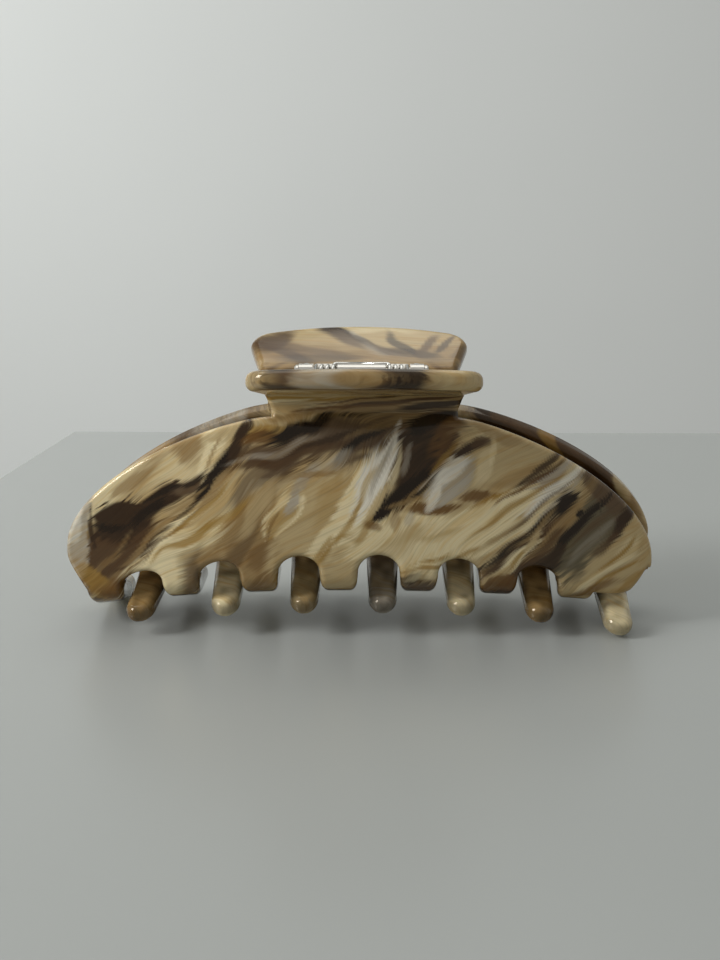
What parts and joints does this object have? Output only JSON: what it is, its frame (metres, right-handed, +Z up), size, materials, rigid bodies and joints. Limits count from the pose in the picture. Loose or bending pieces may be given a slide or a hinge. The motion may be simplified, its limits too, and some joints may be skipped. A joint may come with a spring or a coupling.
{
  "type": "hair claw clip",
  "caption": "Large marbled acetate hair claw clip: two interlacing arched combs with thumb handles, joined by a small sprung steel hinge.",
  "frame": {"origin": "under the middle of the closed clip, on the surface that its lowest teeth stand on", "axes": "+X along the comb, +Y from the front half to the rear half, +Z up from the teeth to the thumb handles"},
  "size_m": [0.1102, 0.0426, 0.0528],
  "materials": {
    "acetate": "polished, marbled in cream, honey, grey and dark brown",
    "hinge_steel": "nickel-plated satin",
    "spring_steel": "bright drawn wire",
    "rivet_steel": "bright"
  },
  "bodies": {
    "rear_half": {"rear_claw": "acetate", "rear_hinge_leaf": "hinge_steel", "rear_leaf_rivet_left": "rivet_steel", "rear_leaf_rivet_right": "rivet_steel", "hinge_pin": "hinge_steel", "torsion_spring": "spring_steel"},
    "front_half": {"front_claw": "acetate", "front_hinge_leaf": "hinge_steel", "front_leaf_rivet_left": "rivet_steel", "front_leaf_rivet_right": "rivet_steel"}
  },
  "joints": [
    {"name": "jaw_hinge", "type": "hinge", "parent": "rear_half", "child": "front_half", "pos_m": [0, 0, 0.04726], "axis": [-1, 0, 0], "range_deg": [0, 100], "stiffness_Nm_per_rad": 0.1, "springref_deg": -68.75, "deforming": ["torsion_spring"]}
  ]
}
